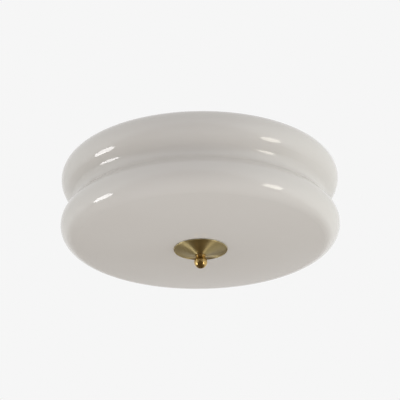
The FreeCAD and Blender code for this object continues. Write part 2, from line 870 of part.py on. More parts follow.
def lead(lamp):
    route = lead_route(lamp)
    radii = bend_radii(route)
    path = Part.Wire(rounded_path(route, radii))
    section = Part.Wire(Part.Circle(V(*route[0]), V(*route[1]) - V(*route[0]), lead_radius).toShape())
    tube = path.makePipeShell([section], True, False)
    share = tube.Volume / (math.pi * lead_radius ** 2 * path.Length)
    print("lead", lamp + 1, "length", round(path.Length, 1), "volume share", round(share, 4),
          "bend radii", [round(r, 1) for r in radii])
    return tube


# ---- assembly

def fixed_pieces():
    return {
        "mounting_strap": mounting_strap(),
        "strap_nut": strap_nut(),
        "centre_rod": centre_rod(),
        "ceiling_pan": ceiling_pan(),
        "edge_gasket": edge_gasket(),
        "pan_washer": pan_washer(),
        "pan_nut": pan_nut(),
        "bracket_rivets": bracket_rivets(),
        "terminal_block": terminal_block(),
        "terminal_sleeves": terminal_sleeves(),
        "terminal_screws": terminal_screws(),
        "block_screw": block_screw(),
        "earth_screw": earth_screw(),
        "earth_nut": earth_nut(),
        "lead_grommets": lead_grommets(),
        "opal_shade": opal_shade(),
        "shade_bushing": shade_bushing(),
        "brass_cap": brass_cap(),
        "cap_gasket": cap_gasket(),
        "finial": finial(),
    }


def lamp_pieces():
    return {
        "lamp_bracket": lamp_bracket(),
        "lamp_nipple": lamp_nipple(),
        "nipple_nut": nipple_nut(),
        "lampholder_cup": lampholder_cup(),
        "lampholder_core": lampholder_core(),
        "lampholder_barrel": lampholder_barrel(),
        "screw_shell": screw_shell(),
        "centre_contact": centre_contact(),
    }


def bulb_pieces():
    return {
        "bulb_tip": bulb_tip(),
        "bulb_insulator": bulb_insulator(),
        "bulb_screw_cap": bulb_screw_cap(),
        "bulb_housing": bulb_housing(),
        "led_board": led_board(),
        "bulb_diffuser": bulb_diffuser(),
    }


def all_pieces():
    pieces = fixed_pieces()
    holder = lamp_pieces()
    for name, shape in bulb_pieces().items():
        holder[name] = shape.translated(V(0, 0, bulb_seat_height))
    for lamp in range(lamp_count):
        for name, shape in holder.items():
            pieces[f"{name}_{lamp + 1}"] = lamp_placed(shape, lamp)
        pieces[f"lead_{lamp + 1}"] = lead(lamp)
    return pieces


os.makedirs("parts", exist_ok=True)
for node, shape in all_pieces().items():
    shape.exportStep(f"parts/{node}.step")
    print(node, "solids", len(shape.Solids), "valid", shape.isValid(), "volume", round(shape.Volume, 1))
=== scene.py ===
import math

import bmesh
import bpy
from mathutils import Matrix, Vector


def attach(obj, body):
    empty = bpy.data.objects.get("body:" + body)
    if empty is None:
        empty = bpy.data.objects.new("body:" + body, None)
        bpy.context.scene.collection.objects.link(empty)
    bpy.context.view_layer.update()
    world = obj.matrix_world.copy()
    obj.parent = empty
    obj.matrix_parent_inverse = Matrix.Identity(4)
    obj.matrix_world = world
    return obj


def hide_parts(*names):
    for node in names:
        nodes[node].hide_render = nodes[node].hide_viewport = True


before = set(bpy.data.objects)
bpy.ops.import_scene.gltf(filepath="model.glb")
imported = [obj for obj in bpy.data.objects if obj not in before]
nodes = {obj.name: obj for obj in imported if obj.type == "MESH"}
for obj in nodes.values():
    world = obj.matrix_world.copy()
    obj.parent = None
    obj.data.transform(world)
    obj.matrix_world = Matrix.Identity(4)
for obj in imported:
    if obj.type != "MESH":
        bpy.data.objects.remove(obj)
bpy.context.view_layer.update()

# Flush mount ceiling light, dressed for its picture.
# Metres, +Z up into the ceiling: the light hangs along -Z.
lampNumbers = (1, 2)
mm = 0.001
sharpAngle = 32.0               # degrees, edges sharper than this stay crisp


# camera

cameraLook = {
    "distance": 2.221,          # from the shade's middle
    "degreesBelow": 23.9,       # the light is seen from below
    "targetHeight": -0.049,
    "roll": 0.687,              # degrees, right side of the picture up
    "lens": 158.2,              # mm on a 36 mm sensor
    "sensor": 36.0,
    "seesTo": 60,
}


def placeCamera(look):
    below = math.radians(look["degreesBelow"])
    sight = Vector((0, math.cos(below), math.sin(below)))
    place = Vector((0, 0, look["targetHeight"])) - sight * look["distance"]
    camera = bpy.data.objects.new("camera", bpy.data.cameras.new("camera"))
    camera.data.lens = look["lens"]
    camera.data.sensor_width = look["sensor"]
    camera.data.clip_end = look["seesTo"]
    facing = sight.to_track_quat("-Z", "Y").to_matrix().to_4x4()
    rolled = facing @ Matrix.Rotation(math.radians(-look["roll"]), 4, "Z")
    camera.matrix_world = Matrix.Translation(place) @ rolled
    bpy.context.scene.collection.objects.link(camera)
    bpy.context.scene.camera = camera


placeCamera(cameraLook)
bpy.context.scene.view_settings.view_transform = "Standard"
print("camera placed")


# helpers for colours, nodes and meshes

def fromHex(code):
    parts = [int(code[i:i + 2], 16) / 255 for i in (1, 3, 5)]
    linear = [p / 12.92 if p <= 0.04045 else ((p + 0.055) / 1.055) ** 2.4 for p in parts]
    return (*linear, 1.0)


def perMetre(sizeInMm):
    return 1000.0 / sizeInMm    # a texture scale that repeats at that size


def addNode(tree, kind, settings=None, links=None):
    node = tree.nodes.new(kind)
    for name, value in (settings or {}).items():
        if isinstance(name, int) or name in node.inputs:
            node.inputs[name].default_value = value
        else:
            setattr(node, name, value)
    for name, source in (links or {}).items():
        tree.links.new(source, node.inputs[name])
    return node


def newMaterial(name, settings):
    material = bpy.data.materials.new(name)
    material.use_nodes = True
    tree = material.node_tree
    tree.nodes.clear()
    shader = addNode(tree, "ShaderNodeBsdfPrincipled", settings)
    addNode(tree, "ShaderNodeOutputMaterial", None, {"Surface": shader.outputs["BSDF"]})
    place = addNode(tree, "ShaderNodeTexCoord").outputs["Object"]
    return material, tree, shader, place


def mottle(tree, shader, place, look):
    # colour that drifts between two near tones
    noise = addNode(tree, "ShaderNodeTexNoise", {"Scale": perMetre(look["patch"]), "Detail": 3.0},
                    {"Vector": place})
    blend = addNode(tree, "ShaderNodeMix", {
        "data_type": "RGBA", 6: fromHex(look["light"]), 7: fromHex(look["dark"])},
        {"Factor": noise.outputs["Fac"]})
    tree.links.new(blend.outputs[2], shader.inputs["Base Color"])


def addPiece(name, body, material, build, replaced=()):
    # build fills a mesh; the piece rides a body, takes a finish slot and may stand for plainer solids
    mesh = bpy.data.meshes.new(name)
    work = bmesh.new()
    build(work)
    bmesh.ops.recalc_face_normals(work, faces=work.faces)
    work.to_mesh(mesh)
    work.free()
    mesh.polygons.foreach_set("use_smooth", [True] * len(mesh.polygons))
    mesh.set_sharp_from_angle(angle=math.radians(sharpAngle))
    mesh.materials.append(material)
    piece = bpy.data.objects.new(name, mesh)
    bpy.context.scene.collection.objects.link(piece)
    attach(piece, body)
    if replaced:
        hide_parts(*replaced)
    return piece


def onCircle(centre, radius, degrees):
    angle = math.radians(degrees)
    return (centre[0] + radius * math.cos(angle), centre[1] + radius * math.sin(angle))


def arcPoints(centre, radius, start, end, steps):
    return [onCircle(centre, radius, start + (end - start) * i / steps) for i in range(steps + 1)]


def turnProfile(work, profile, place=Matrix(), around=96, wobble=None):
    # a closed outline of (radius, height) points, in metres, turned about local Z
    # wobble(angle, radius, height) shifts the radius, which is how threads are cut
    rings = []
    for radius, height in profile:
        if radius < 1e-7:
            rings.append([work.verts.new(place @ Vector((0, 0, height)))])
            continue
        ring = []
        for i in range(around):
            angle = 2 * math.pi * i / around
            r = radius + (wobble(angle, radius, height) if wobble else 0)
            ring.append(work.verts.new(place @ Vector((r * math.cos(angle), r * math.sin(angle), height))))
        rings.append(ring)
    for lower, upper in zip(rings, rings[1:] + rings[:1]):
        if len(lower) == 1 and len(upper) == 1:
            continue
        for i in range(around):
            j = (i + 1) % around
            corners = [lower[i % len(lower)], lower[j % len(lower)],
                       upper[j % len(upper)], upper[i % len(upper)]]
            work.faces.new(list(dict.fromkeys(corners)))


def scaled(points):
    return [(r * mm, z * mm) for r, z in points]    # an outline in millimetres, in metres


def dress(material, *names):
    for name in names:
        for place in nodes[name].material_slots:
            place.material = material


def eachLamp(*names):
    return [f"{name}_{number}" for name in names for number in lampNumbers]


# glass

opalLook = {
    "light": "#E2DCDA",
    "dark": "#DED7D4",
    "patch": 90,                # mm, drift of the white from thick to thin glass
    "wave": 60,                 # mm, waves left by the blowing
    "waveDepth": 0.04,
    "skin": "#FCFDFB",          # the clear skin is a little green when seen edge on
}


def blownOpalGlass(look):
    # milk white body under a clear fire-polished skin:
    # an even soft white with hard, slightly wavy reflections
    material, tree, shader, place = newMaterial("blown opal glass", {
        "Roughness": 0.6, "IOR": 1.5, "Specular IOR Level": 0.0,
        "Coat Weight": 1.0, "Coat Roughness": 0.02, "Coat IOR": 1.5, "Coat Tint": fromHex(look["skin"])})
    mottle(tree, shader, place, look)
    wave = addNode(tree, "ShaderNodeTexNoise", {"Scale": perMetre(look["wave"]), "Detail": 1.0},
                   {"Vector": place})
    bump = addNode(tree, "ShaderNodeBump", {"Distance": look["waveDepth"] * mm, "Strength": 1.0},
                   {"Height": wave.outputs["Fac"]})
    tree.links.new(bump.outputs["Normal"], shader.inputs["Coat Normal"])
    return material


dress(blownOpalGlass(opalLook), "opal_shade")
print("glass dressed")


# brass

spunBrassLook = {
    "light": "#E6D6A4",
    "dark": "#D6C48F",
    "patch": 16,
    "groove": 1.1,              # mm, the spinning tool's marks, drawn coarser than real so that they show
    "grooveDepth": 0.012,
    "roughness": 0.54,
    "lacquer": 0.15,
    "acrossTheRings": 0.93,     # the rings scatter light across them, hardly along them
}


def spunSatinBrass(look):
    # spun on a lathe, then satin rubbed and lacquered: rings round the middle pull each light into a streak
    material, tree, shader, place = newMaterial("spun satin brass", {
        "Metallic": 1.0, "Roughness": look["roughness"], "Anisotropic": look["acrossTheRings"],
        "Anisotropic Rotation": 0.25, "Coat Weight": look["lacquer"], "Coat Roughness": 0.15})
    mottle(tree, shader, place, look)
    flat = addNode(tree, "ShaderNodeVectorMath", {"operation": "MULTIPLY", 1: (1.0, 1.0, 0.0)}, {0: place})
    radius = addNode(tree, "ShaderNodeVectorMath", {"operation": "LENGTH"}, {0: flat.outputs[0]})
    grooves = addNode(tree, "ShaderNodeTexNoise", {
        "noise_dimensions": "1D", "Scale": perMetre(look["groove"]), "Detail": 4.0},
        {"W": radius.outputs["Value"]})
    bump = addNode(tree, "ShaderNodeBump", {"Distance": look["grooveDepth"] * mm, "Strength": 0.5},
                   {"Height": grooves.outputs["Fac"]})
    tangent = addNode(tree, "ShaderNodeTangent", {"direction_type": "RADIAL", "axis": "Z"})
    tree.links.new(bump.outputs["Normal"], shader.inputs["Normal"])
    tree.links.new(tangent.outputs["Tangent"], shader.inputs["Tangent"])
    return material


turnedBrassLook = {
    "light": "#CDB27A",
    "dark": "#BC9E62",
    "patch": 9,
    "ring": 0.5,                # mm, turning rings along the height
    "ringDepth": 0.004,
    "roughness": 0.22,
    "acrossTheRings": 0.88,
}


def turnedPolishedBrass(look):
    # turned from bar and buffed along the turning rings: each light becomes an upright streak on the ball
    material, tree, shader, place = newMaterial("turned polished brass", {
        "Metallic": 1.0, "Roughness": look["roughness"], "Anisotropic": look["acrossTheRings"],
        "Anisotropic Rotation": 0.25})
    mottle(tree, shader, place, look)
    height = addNode(tree, "ShaderNodeSeparateXYZ", None, {0: place})
    rings = addNode(tree, "ShaderNodeTexNoise", {
        "noise_dimensions": "1D", "Scale": perMetre(look["ring"]), "Detail": 2.0}, {"W": height.outputs["Z"]})
    bump = addNode(tree, "ShaderNodeBump", {"Distance": look["ringDepth"] * mm, "Strength": 0.4},
                   {"Height": rings.outputs["Fac"]})
    tangent = addNode(tree, "ShaderNodeTangent", {"direction_type": "RADIAL", "axis": "Z"})
    tree.links.new(bump.outputs["Normal"], shader.inputs["Normal"])
    tree.links.new(tangent.outputs["Tangent"], shader.inputs["Tangent"])
    return material


bareBrassLook = {
    "light": "#DDBF7E",
    "dark": "#B99454",          # tarnish in the places that fingers touch
    "patch": 3.5,
    "scratch": 0.4,             # mm, drawing lines
    "scratchDepth": 0.006,
    "roughness": 0.24,
}


def pressedBareBrass(look, name, stretch):
    # unlacquered brass: yellow metal with brown tarnish and fine drawing lines along the strip
    material, tree, shader, place = newMaterial(name, {"Metallic": 1.0, "Roughness": look["roughness"]})
    mottle(tree, shader, place, look)
    lines = addNode(tree, "ShaderNodeVectorMath", {"operation": "MULTIPLY", 1: stretch}, {0: place})
    scratch = addNode(tree, "ShaderNodeTexNoise", {"Scale": perMetre(look["scratch"]), "Detail": 3.0},
                      {"Vector": lines.outputs[0]})
    bump = addNode(tree, "ShaderNodeBump", {"Distance": look["scratchDepth"] * mm, "Strength": 0.5},
                   {"Height": scratch.outputs["Fac"]})
    tree.links.new(bump.outputs["Normal"], shader.inputs["Normal"])
    return material


dress(spunSatinBrass(spunBrassLook), "brass_cap")
dress(turnedPolishedBrass(turnedBrassLook), "finial")
contactBrass = pressedBareBrass(bareBrassLook, "pressed brass strip", (0.1, 1.0, 1.0))
turnedBrass = pressedBareBrass(bareBrassLook, "turned bare brass", (1.0, 1.0, 0.2))
dress(contactBrass, *eachLamp("screw_shell", "centre_contact"))
dress(turnedBrass, "earth_screw", "earth_nut", "terminal_sleeves")
print("brass dressed")


# steel

powderCoatLook = {
    "light": "#F1F0EC",
    "dark": "#E9E8E3",
    "patch": 60,
    "peel": 1.6,                # mm, orange peel of the baked powder
    "peelDepth": 0.03,
    "roughness": 0.38,
}


def whitePowderCoat(look):
    # baked powder on drawn steel: white, half gloss, with a fine orange peel
    material, tree, shader, place = newMaterial("white powder coat", {
        "Roughness": look["roughness"], "IOR": 1.5})
    mottle(tree, shader, place, look)
    peel = addNode(tree, "ShaderNodeTexNoise", {"Scale": perMetre(look["peel"]), "Detail": 1.0},
                   {"Vector": place})
    bump = addNode(tree, "ShaderNodeBump", {"Distance": look["peelDepth"] * mm, "Strength": 0.7},
                   {"Height": peel.outputs["Fac"]})
    tree.links.new(bump.outputs["Normal"], shader.inputs["Normal"])
    return material


zincLook = {
    "light": "#D3D6DA",
    "dark": "#B9B8AE",          # straw tint of the passivation
    "patch": 7,
    "crystal": 1.2,             # mm, cells of the plating that differ in gloss
    "grain": 0.5,
    "grainDepth": 0.008,
    "smoothest": 0.24,
    "roughest": 0.44,
}


def brightZincPlate(look):
    # barrel-plated steel: cool grey with straw patches, and cells that differ a little in gloss
    material, tree, shader, place = newMaterial("bright zinc plate", {"Metallic": 1.0})
    mottle(tree, shader, place, look)
    cells = addNode(tree, "ShaderNodeTexVoronoi", {"Scale": perMetre(look["crystal"])}, {"Vector": place})
    gloss = addNode(tree, "ShaderNodeMapRange", {"To Min": look["smoothest"], "To Max": look["roughest"]},
                    {"Value": cells.outputs["Distance"]})
    grain = addNode(tree, "ShaderNodeTexNoise", {"Scale": perMetre(look["grain"]), "Detail": 3.0},
                    {"Vector": place})
    bump = addNode(tree, "ShaderNodeBump", {"Distance": look["grainDepth"] * mm, "Strength": 0.5},
                   {"Height": grain.outputs["Fac"]})
    tree.links.new(gloss.outputs["Result"], shader.inputs["Roughness"])
    tree.links.new(bump.outputs["Normal"], shader.inputs["Normal"])
    return material


nickelLook = {
    "light": "#D9D7D1",
    "dark": "#C6C3BA",
    "patch": 11,
    "scuff": 0.8,               # mm, scuffs from the shell it is screwed into
    "smoothest": 0.16,
    "roughest": 0.34,
}


def nickelPlatedBrass(look):
    # rolled and nickel plated: warm grey, bright, scuffed on the crests
    material, tree, shader, place = newMaterial("nickel plated brass", {"Metallic": 1.0})
    mottle(tree, shader, place, look)
    along = addNode(tree, "ShaderNodeVectorMath", {"operation": "MULTIPLY", 1: (1.0, 0.15, 0.15)},
                    {0: place})
    scuffs = addNode(tree, "ShaderNodeTexNoise", {"Scale": perMetre(look["scuff"]), "Detail": 4.0},
                     {"Vector": along.outputs[0]})
    gloss = addNode(tree, "ShaderNodeMapRange", {"To Min": look["smoothest"], "To Max": look["roughest"]},
                    {"Value": scuffs.outputs["Fac"]})
    tree.links.new(gloss.outputs["Result"], shader.inputs["Roughness"])
    return material


solderLook = {"light": "#C3C5C8", "dark": "#9EA1A4", "patch": 2.2, "wrinkle": 1.4, "wrinkleDepth": 0.12}


def cooledSolder(look):
    # a drop of solder that froze quickly: dull silver with a wrinkled skin
    material, tree, shader, place = newMaterial("cooled solder", {"Metallic": 1.0, "Roughness": 0.42})
    mottle(tree, shader, place, look)
    wrinkles = addNode(tree, "ShaderNodeTexNoise", {
        "Scale": perMetre(look["wrinkle"]), "Detail": 3.0, "Distortion": 0.8}, {"Vector": place})
    bump = addNode(tree, "ShaderNodeBump", {"Distance": look["wrinkleDepth"] * mm, "Strength": 0.6},
                   {"Height": wrinkles.outputs["Fac"]})
    tree.links.new(bump.outputs["Normal"], shader.inputs["Normal"])
    return material


zincPlate = brightZincPlate(zincLook)
nickelPlate = nickelPlatedBrass(nickelLook)
dress(whitePowderCoat(powderCoatLook), "ceiling_pan")
dress(zincPlate, "mounting_strap", "strap_nut", "centre_rod", "pan_washer", "pan_nut", "bracket_rivets",
      "block_screw", "terminal_screws", *eachLamp("lamp_bracket", "lamp_nipple", "nipple_nut"))
dress(nickelPlate, *eachLamp("bulb_screw_cap"))
dress(cooledSolder(solderLook), *eachLamp("bulb_tip"))
print("steel dressed")


# plastics, rubber and ceramics

mouldedLooks = {
    # finish: colours, roughness, size in mm and depth in mm of the mould's spark texture,
    # and how far in mm light enters the wall
    "moulded nylon": {
        "light": "#EDEBE1", "dark": "#E4E1D5", "patch": 8, "roughness": 0.45, "IOR": 1.53,
        "grain": 0.5, "depth": 0.012, "depthOfLight": 0.8},
    "moulded thermoplastic": {
        "light": "#F0EFEA", "dark": "#E7E5DE", "patch": 18, "roughness": 0.36, "IOR": 1.55,
        "grain": 0.6, "depth": 0.010, "depthOfLight": 0.3},
    "moulded polycarbonate": {
        "light": "#F2F2EF", "dark": "#EAEAE6", "patch": 25, "roughness": 0.24, "IOR": 1.58,
        "grain": 0.9, "depth": 0.006, "depthOfLight": 0.5},
    "frosted polycarbonate": {
        "light": "#F5F4EF", "dark": "#EFEEE7", "patch": 30, "roughness": 0.55, "IOR": 1.58,
        "grain": 0.4, "depth": 0.020, "depthOfLight": 2.0},
    "moulded white silicone": {
        "light": "#EAE9E4", "dark": "#E0DED7", "patch": 20, "roughness": 0.60, "IOR": 1.41,
        "grain": 0.7, "depth": 0.015, "depthOfLight": 1.5},
    "moulded rubber": {
        "light": "#1B1B1C", "dark": "#121213", "patch": 6, "roughness": 0.62, "IOR": 1.52,
        "grain": 0.4, "depth": 0.015, "depthOfLight": 0.0},
}


def mouldedPlastic(name, look):
    # the skin copies the mould: an even colour, a satin sheen and a fine spark texture
    material, tree, shader, place = newMaterial(name, {
        "Roughness": look["roughness"], "IOR": look["IOR"],
        "Subsurface Weight": 0.15 if look["depthOfLight"] else 0.0,
        "Subsurface Radius": (1.0, 0.9, 0.8), "Subsurface Scale": look["depthOfLight"] * mm})
    mottle(tree, shader, place, look)
    grain = addNode(tree, "ShaderNodeTexNoise", {"Scale": perMetre(look["grain"]), "Detail": 2.0},
                    {"Vector": place})
    bump = addNode(tree, "ShaderNodeBump", {"Distance": look["depth"] * mm, "Strength": 0.6},
                   {"Height": grain.outputs["Fac"]})
    tree.links.new(bump.outputs["Normal"], shader.inputs["Normal"])
    return material


clearSiliconeLook = {"light": "#DDDDD8", "dark": "#CFCFC8", "patch": 6, "skin": 0.6, "skinDepth": 0.01}


def clearSilicone(look):
    # clear silicone: milky and soft where it is thick, with a dull skin
    material, tree, shader, place = newMaterial("moulded clear silicone", {
        "Roughness": 0.35, "IOR": 1.41, "Transmission Weight": 0.55})
    mottle(tree, shader, place, look)
    skin = addNode(tree, "ShaderNodeTexNoise", {"Scale": perMetre(look["skin"]), "Detail": 2.0},
                   {"Vector": place})
    bump = addNode(tree, "ShaderNodeBump", {"Distance": look["skinDepth"] * mm, "Strength": 0.5},
                   {"Height": skin.outputs["Fac"]})
    tree.links.new(bump.outputs["Normal"], shader.inputs["Normal"])
    return material


porcelainLook = {"light": "#EFEBE0", "dark": "#E6E0D0", "patch": 9, "speck": 1.1, "iron": "#A89878"}


def glazedPorcelain(look):
    # pressed and glazed steatite: warm white with a wet gloss and a few iron specks under the glaze
    material, tree, shader, place = newMaterial("glazed porcelain", {
        "Roughness": 0.5, "IOR": 1.56, "Coat Weight": 1.0, "Coat Roughness": 0.06, "Coat IOR": 1.5})
    specks = addNode(tree, "ShaderNodeTexVoronoi", {"Scale": perMetre(look["speck"])}, {"Vector": place})
    sparse = addNode(tree, "ShaderNodeMapRange", {
        "From Min": 0.05, "From Max": 0.12, "To Min": 0.5, "To Max": 0.0},
        {"Value": specks.outputs["Distance"]})
    noise = addNode(tree, "ShaderNodeTexNoise", {"Scale": perMetre(look["patch"])}, {"Vector": place})
    body = addNode(tree, "ShaderNodeMix", {
        "data_type": "RGBA", 6: fromHex(look["light"]), 7: fromHex(look["dark"])},
        {"Factor": noise.outputs["Fac"]})
    speckled = addNode(tree, "ShaderNodeMix", {"data_type": "RGBA", 7: fromHex(look["iron"])},
                       {"Factor": sparse.outputs["Result"], 6: body.outputs[2]})
    tree.links.new(speckled.outputs[2], shader.inputs["Base Color"])
    return material


blackGlassLook = {"light": "#17171B", "dark": "#0D0D10", "patch": 4, "pour": 3.0, "pourDepth": 0.08}


def fusedBlackGlass(look):
    # poured black glass between the two contacts: near black, glossy, with pour marks
    material, tree, shader, place = newMaterial("fused black glass", {"Roughness": 0.10, "IOR": 1.6})
    mottle(tree, shader, place, look)
    pour = addNode(tree, "ShaderNodeTexNoise", {"Scale": perMetre(look["pour"]), "Distortion": 1.2},
                   {"Vector": place})
    bump = addNode(tree, "ShaderNodeBump", {"Distance": look["pourDepth"] * mm, "Strength": 0.5},
                   {"Height": pour.outputs["Fac"]})
    tree.links.new(bump.outputs["Normal"], shader.inputs["Normal"])
    return material


solderMaskLook = {"light": "#EDEEEA", "dark": "#E3E5E0", "patch": 12, "trackPitch": 4.0, "trackHeight": 0.05}


def whiteSolderMask(look):
    # white solder mask on an aluminium board: the copper tracks stand up a little under it
    material, tree, shader, place = newMaterial("white solder mask", {"Roughness": 0.32, "IOR": 1.5})
    mottle(tree, shader, place, look)
    tracks = addNode(tree, "ShaderNodeTexBrick", {
        "Scale": perMetre(look["trackPitch"]), "Mortar Size": 0.06, "Brick Width": 1.6, "Row Height": 0.8},
        {"Vector": place})
    bump = addNode(tree, "ShaderNodeBump", {
        "Distance": look["trackHeight"] * mm, "Strength": 0.8, "invert": True},
        {"Height": tracks.outputs["Fac"]})
    tree.links.new(bump.outputs["Normal"], shader.inputs["Normal"])
    return material


plastics = {name: mouldedPlastic(name, look) for name, look in mouldedLooks.items()}
dress(plastics["moulded nylon"], "terminal_block")
dress(plastics["moulded thermoplastic"], *eachLamp("lampholder_cup", "lampholder_barrel"))
dress(plastics["moulded polycarbonate"], *eachLamp("bulb_housing"))
dress(plastics["frosted polycarbonate"], *eachLamp("bulb_diffuser"))
dress(plastics["moulded white silicone"], "shade_bushing", "edge_gasket")
dress(plastics["moulded rubber"], "lead_grommets")
dress(clearSilicone(clearSiliconeLook), "cap_gasket")
dress(glazedPorcelain(porcelainLook), *eachLamp("lampholder_core"))
blackGlass = fusedBlackGlass(blackGlassLook)
dress(blackGlass, *eachLamp("bulb_insulator"))
dress(whiteSolderMask(solderMaskLook), *eachLamp("led_board"))
print("plastics and ceramics dressed")


# leads

leadLook = {
    "light": "#E9E6DA",
    "dark": "#D8D3C2",
    "strandPairs": 7,           # strands each way round the sleeve
    "crossingsPerLength": 90,   # the braid's crossings along a lead, drawn coarser than real
    "depth": 0.15,
}
leadDiameter = 3.5 * mm
leadLengths = (0.300, 0.166)
leadRoutes = (
    # mm, from the terminal block through the pan's grommet to each lampholder
    ((39.5, -7.5, -14), (39.5, -30, -14), (10, -43, -18.05), (-24, -40, -18.05), (-56, -22, -18.05),
     (-76, 4, -18.05), (-90, 30, -6.5), (-97.97, 58, -6), (-97.97, 58, -61), (-53, 58, -61)),
    ((48.5, -7.5, -14), (48.5, -30, -14), (74, -50, -6.5), (97.97, -58, -6), (97.97, -58, -61),
     (53, -58, -61)),
)


def braidedSleeve(look):
    # glass fibre braided over the wires: off-white strands that cross each other, with a dull sheen
    material, tree, shader, place = newMaterial("braided glass fibre sleeve", {
        "Roughness": 0.75, "IOR": 1.5, "Sheen Weight": 0.2, "Sheen Roughness": 0.5})
    onSleeve = addNode(tree, "ShaderNodeTexCoord").outputs["UV"]
    along, around = look["crossingsPerLength"], look["strandPairs"]
    oneWay = addNode(tree, "ShaderNodeVectorMath", {
        "operation": "DOT_PRODUCT", 1: (along, around, 0.0)}, {0: onSleeve})
    otherWay = addNode(tree, "ShaderNodeVectorMath", {
        "operation": "DOT_PRODUCT", 1: (along, -around, 0.0)}, {0: onSleeve})
    crossing = addNode(tree, "ShaderNodeCombineXYZ", None, {
        "X": oneWay.outputs["Value"], "Y": otherWay.outputs["Value"]})
    braid = addNode(tree, "ShaderNodeTexChecker", {
        "Scale": 1.0, "Color1": fromHex(look["light"]), "Color2": fromHex(look["dark"])},
        {"Vector": crossing.outputs["Vector"]})
    bump = addNode(tree, "ShaderNodeBump", {"Distance": look["depth"] * mm, "Strength": 0.8},
                   {"Height": braid.outputs["Fac"]})
    tree.links.new(braid.outputs["Color"], shader.inputs["Base Color"])
    tree.links.new(bump.outputs["Normal"], shader.inputs["Normal"])
    return material


def layLead(number, route, material):
    line = bpy.data.curves.new(f"lead_{number}", "CURVE")
    line.dimensions = "3D"
    line.resolution_u = 16
    line.bevel_depth = leadDiameter / 2
    line.bevel_resolution = 5
    line.use_fill_caps = True
    path = line.splines.new("NURBS")
    path.points.add(len(route) - 1)
    for point, (x, y, z) in zip(path.points, route):
        point.co = (x * mm, y * mm, z * mm, 1.0)
    path.order_u = 3
    path.use_endpoint_u = True
    line.materials.append(material)
    lead = bpy.data.objects.new(f"leadSleeve_{number}", line)
    bpy.context.scene.collection.objects.link(lead)
    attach(lead, "root")
    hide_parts(f"lead_{number}")


sleeve = braidedSleeve(leadLook)
for number, route, length in zip(lampNumbers, leadRoutes, leadLengths):
    layLead(number, route, sleeve)
print("leads laid")


# threaded and slotted pieces, which the solids leave plain

threadLooks = {
    # mm: pitch, depth, and how far the thread takes to reach full depth at each end
    "metricEight": {"pitch": 1.25, "depth": 0.62, "runOut": 0.8},
    "metricTen": {"pitch": 1.0, "depth": 0.50, "runOut": 0.6},
    "metricFour": {"pitch": 0.7, "depth": 0.36, "runOut": 0.4},
    "rolledTwentySeven": {"pitch": 3.629, "depth": 0.90, "runOut": 1.6},
}
rowsPerPitch = 6


def threadCrest(look, angle, height):
    # 1 on the crest and 0 in the root of a right-handed thread
    turn = height / look["pitch"] - angle / (2 * math.pi)
    turn -= math.floor(turn)
    return 1 - abs(2 * turn - 1)


def rolledCrest(look, angle, height):
    # the same for a thread rolled in sheet, whose section is a wave
    return 0.5 - 0.5 * math.cos(2 * math.pi * height / look["pitch"] - angle)


def easeIn(height, low, high, run):
    reach = min(height - low, high - height) / run
    return max(0.0, min(1.0, reach))


def threadedSide(look, radius, low, high):
    # points up a threaded side, close enough to draw each turn
    steps = round((high - low) / look["pitch"] * rowsPerPitch)
    return [(radius, low + (high - low) * i / steps) for i in range(steps + 1)]


def cutThread(look, radius, low, high):
    # a V thread cut into bar: full radius on the crests, which fade out at both ends
    def wobble(angle, r, height):
        z = height / mm
        if abs(r / mm - radius) > 0.01 or not low < z < high:
            return 0.0
        return -look["depth"] * mm * (1 - threadCrest(look, angle, z)) * easeIn(z, low, high, look["runOut"])
    return wobble


rodSize = {"radius": 4.0, "low": -132.9, "high": -5.0, "chamfer": 0.8, "around": 28}     # mm, sides round


def buildRod(work):
    # threaded along its whole length, with chamfered ends
    size, look = rodSize, threadLooks["metricEight"]
    low, high = size["low"] + size["chamfer"], size["high"] - size["chamfer"]
    tip = size["radius"] - size["chamfer"]
    profile = [(0, size["low"]), (tip, size["low"])] + threadedSide(look, size["radius"], low, high)
    profile += [(tip, size["high"]), (0, size["high"])]
    turnProfile(work, scaled(profile), around=size["around"],
                wobble=cutThread(look, size["radius"], low, high))


addPiece("threadedRod", "root", zincPlate, buildRod, ["centre_rod"])


lampSize = {
    # mm: where a lamp's axis starts, measured from the rod's axis and the ceiling, and how deep its bulb sits
    "backOffset": 66.0, "sideOffset": 58.0, "axisHeight": -61.0, "bulbSeat": 30.8,
}


def lampPlace(number, along=0.0):
    # a lamp's own Z runs from its back face towards its bulb
    # the second lamp is the first turned half round
    size = lampSize
    turned = Matrix.Rotation(math.pi * (number - 1), 4, "Z")
    back = Matrix.Translation(Vector((-size["backOffset"], size["sideOffset"], size["axisHeight"])) * mm)
    return turned @ back @ Matrix.Rotation(math.pi / 2, 4, "Y") @ Matrix.Translation((0, 0, along * mm))


def bulbPlace(number):
    return lampPlace(number, lampSize["bulbSeat"])      # the bulb's tip, screwed in


nippleSize = {"radius": 5.0, "bore": 3.2, "low": -6.7, "high": 8.0, "edge": 0.3, "around": 40}   # mm


def buildNipple(work, number):
    # a hollow threaded tube that holds the lamp to its bracket and lets the lead in
    size, look = nippleSize, threadLooks["metricTen"]
    low, high = size["low"] + size["edge"], size["high"] - size["edge"]
    rim = size["radius"] - size["edge"]
    profile = [(size["bore"], size["high"]), (size["bore"], size["low"]), (rim, size["low"])]
    profile += threadedSide(look, size["radius"], low, high) + [(rim, size["high"])]
    turnProfile(work, scaled(profile), lampPlace(number), size["around"],
                cutThread(look, size["radius"], low, high))


